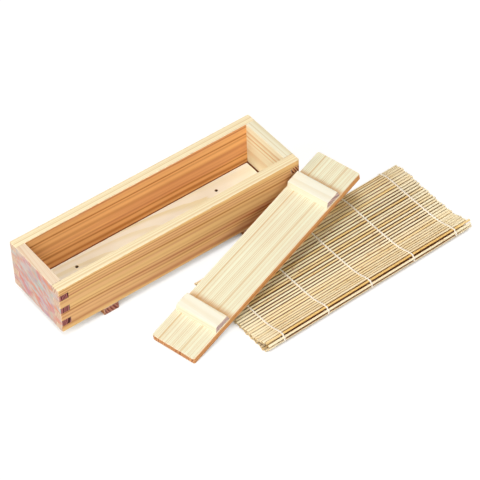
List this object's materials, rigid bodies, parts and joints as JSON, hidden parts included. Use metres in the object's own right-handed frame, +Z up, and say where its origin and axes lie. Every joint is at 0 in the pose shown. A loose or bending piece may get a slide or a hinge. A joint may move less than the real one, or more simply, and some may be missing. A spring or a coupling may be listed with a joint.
{
  "type": "pressed sushi mould set",
  "caption": "Wooden box mould for pressed sushi: finger-jointed frame on a loose base with cross feet, a press board with batten grips, and a folded bamboo rolling mat.",
  "frame": {"origin": "middle of the footprint of the whole laid-out set, on the table", "axes": "+X along the box frame from its left end to its right end, +Y across the frame from its front board to its back board, +Z up"},
  "size_m": [0.3684, 0.2036, 0.06],
  "materials": {
    "cypress_frame": "planed unfinished cypress, straight grain, eased arrises",
    "cypress_base": "planed unfinished pale cypress",
    "foot_wood": "planed unfinished reddish cedar",
    "cypress_press": "planed unfinished cypress, rounded corners",
    "cypress_batten": "planed unfinished pale cypress, sloping flanks",
    "nail_steel": "dull wire nails",
    "bamboo": "split bamboo, polished by use",
    "cotton": "twisted cotton string"
  },
  "bodies": {
    "base": {"base_board": "cypress_base", "foot_left": "foot_wood", "foot_right": "foot_wood", "base_nails": "nail_steel"},
    "frame": {"side_board_front": "cypress_frame", "side_board_back": "cypress_frame", "end_board_left": "cypress_frame", "end_board_right": "cypress_frame"},
    "press": {"press_board": "cypress_press", "press_batten_near": "cypress_batten", "press_batten_far": "cypress_batten", "press_nails": "nail_steel"},
    "mat": {"mat_slats_upper": "bamboo", "mat_slats_fold": "bamboo", "mat_slats_lower": "bamboo", "mat_strings_upper": "cotton", "mat_strings_lower": "cotton"},
    "mat_edge_1": {"mat_slats_edge_1": "bamboo", "mat_strings_edge_1": "cotton"},
    "mat_edge_2": {"mat_slats_edge_2": "bamboo", "mat_strings_edge_2": "cotton"},
    "mat_edge_3": {"mat_slats_edge_3": "bamboo", "mat_strings_edge_3": "cotton"}
  },
  "joints": [
    {"name": "frame_lift", "type": "slide", "parent": "base", "child": "frame", "axis": [0, 0, 1], "range_m": [0, 0.065]},
    {"name": "press_lift", "type": "slide", "parent": "base", "child": "press", "axis": [0, 0, 1], "range_m": [0, 0.08]},
    {"name": "mat_pull", "type": "slide", "parent": "base", "child": "mat", "axis": [0.0209, -0.9998, 0], "range_m": [0, 0.08]},
    {"name": "mat_curl", "type": "hinge", "parent": "mat", "child": "mat_edge_1", "pos_m": [-0.05738, -0.02354, 0.00444], "axis": [0.9998, 0.0209, 0], "range_deg": [0, 12]},
    {"name": "mat_curl_2", "type": "hinge", "parent": "mat_edge_1", "child": "mat_edge_2", "pos_m": [-0.05758, -0.01357, 0.00505], "axis": [0.9998, 0.0209, 0], "range_deg": [0, 12]},
    {"name": "mat_curl_3", "type": "hinge", "parent": "mat_edge_2", "child": "mat_edge_3", "pos_m": [-0.05779, -0.00363, 0.00443], "axis": [0.9998, 0.0209, 0], "range_deg": [0, 12]}
  ],
  "couplings": [
    {"joint": "mat_curl_2", "follows": "mat_curl", "ratio": 1},
    {"joint": "mat_curl_3", "follows": "mat_curl", "ratio": 1}
  ]
}
